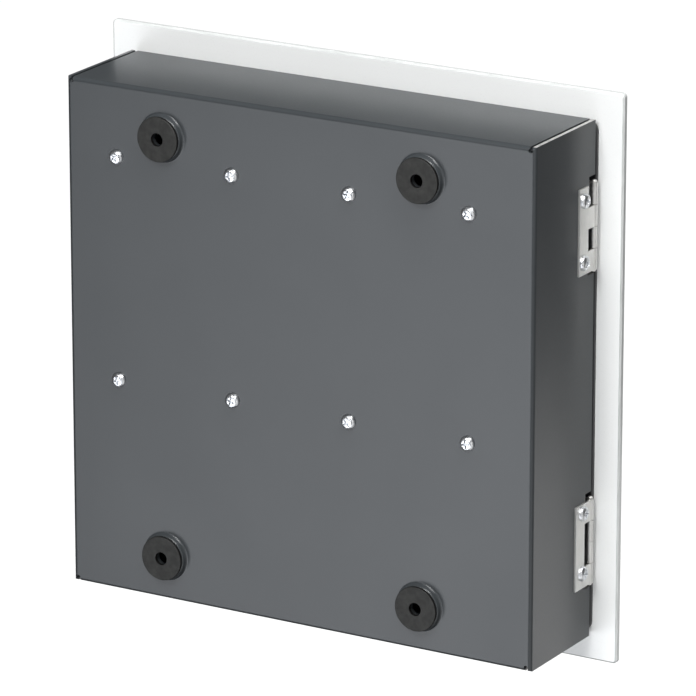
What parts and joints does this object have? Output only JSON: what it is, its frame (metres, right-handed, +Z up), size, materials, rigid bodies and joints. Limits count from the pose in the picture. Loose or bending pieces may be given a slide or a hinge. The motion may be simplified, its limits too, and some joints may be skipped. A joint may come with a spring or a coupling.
{
  "type": "wall-mounted key cabinet",
  "caption": "Square wall-mounted key cabinet: folded sheet-steel casing on rubber wall pads, rows of key hooks inside, and an overhanging glass door on butt hinges.",
  "frame": {"origin": "centre of the four wall holes, in the plane of the wall that the rubber pads bear on", "axes": "+Z up, +Y into the wall, so the glass door faces -Y; the hinges are on the -X side, which is on the left of somebody facing the door"},
  "size_m": [0.3, 0.0744, 0.3],
  "materials": {
    "casing_coat": "satin powder coat, slate grey",
    "tray_coat": "satin powder coat, black",
    "backed_glass": "toughened glass, painted white on its back, polished edges",
    "pad_rubber": "matte black",
    "zinc_screw": "bright zinc plate",
    "hinge_steel": "satin stainless steel",
    "bar_aluminium": "satin anodised",
    "hook_wire": "nickel plated",
    "foam_tape": "black foam mounting tape",
    "catch_plastic": "moulded, dark grey",
    "ferrite": "pressed ferrite",
    "pole_steel": "zinc plated"
  },
  "bodies": {
    "casing": {"rear_casing": "casing_coat", "wall_pad_upper_left": "pad_rubber", "wall_pad_upper_right": "pad_rubber", "wall_pad_lower_left": "pad_rubber", "wall_pad_lower_right": "pad_rubber", "upper_hook_bar": "bar_aluminium", "lower_hook_bar": "bar_aluminium", "upper_key_hooks": "hook_wire", "lower_key_hooks": "hook_wire", "upper_bar_screws": "zinc_screw", "lower_bar_screws": "zinc_screw", "upper_hinge_casing_leaf": "hinge_steel", "upper_hinge_pin": "hinge_steel", "upper_hinge_screws": "zinc_screw", "upper_hinge_nuts": "zinc_screw", "lower_hinge_casing_leaf": "hinge_steel", "lower_hinge_pin": "hinge_steel", "lower_hinge_screws": "zinc_screw", "lower_hinge_nuts": "zinc_screw", "catch_housing": "catch_plastic", "catch_magnet": "ferrite", "catch_pole_plates": "pole_steel", "catch_screws": "zinc_screw"},
    "door": {"upper_hinge_door_leaf": "hinge_steel", "upper_hinge_rivets": "hinge_steel", "lower_hinge_door_leaf": "hinge_steel", "lower_hinge_rivets": "hinge_steel", "door_tray": "tray_coat", "adhesive_tapes": "foam_tape", "glass_panel": "backed_glass"}
  },
  "joints": [
    {"name": "door_hinge", "type": "hinge", "parent": "casing", "child": "door", "pos_m": [-0.1394, -0.0664, 0.0006], "axis": [0, 0, -1], "range_deg": [0, 90]}
  ]
}
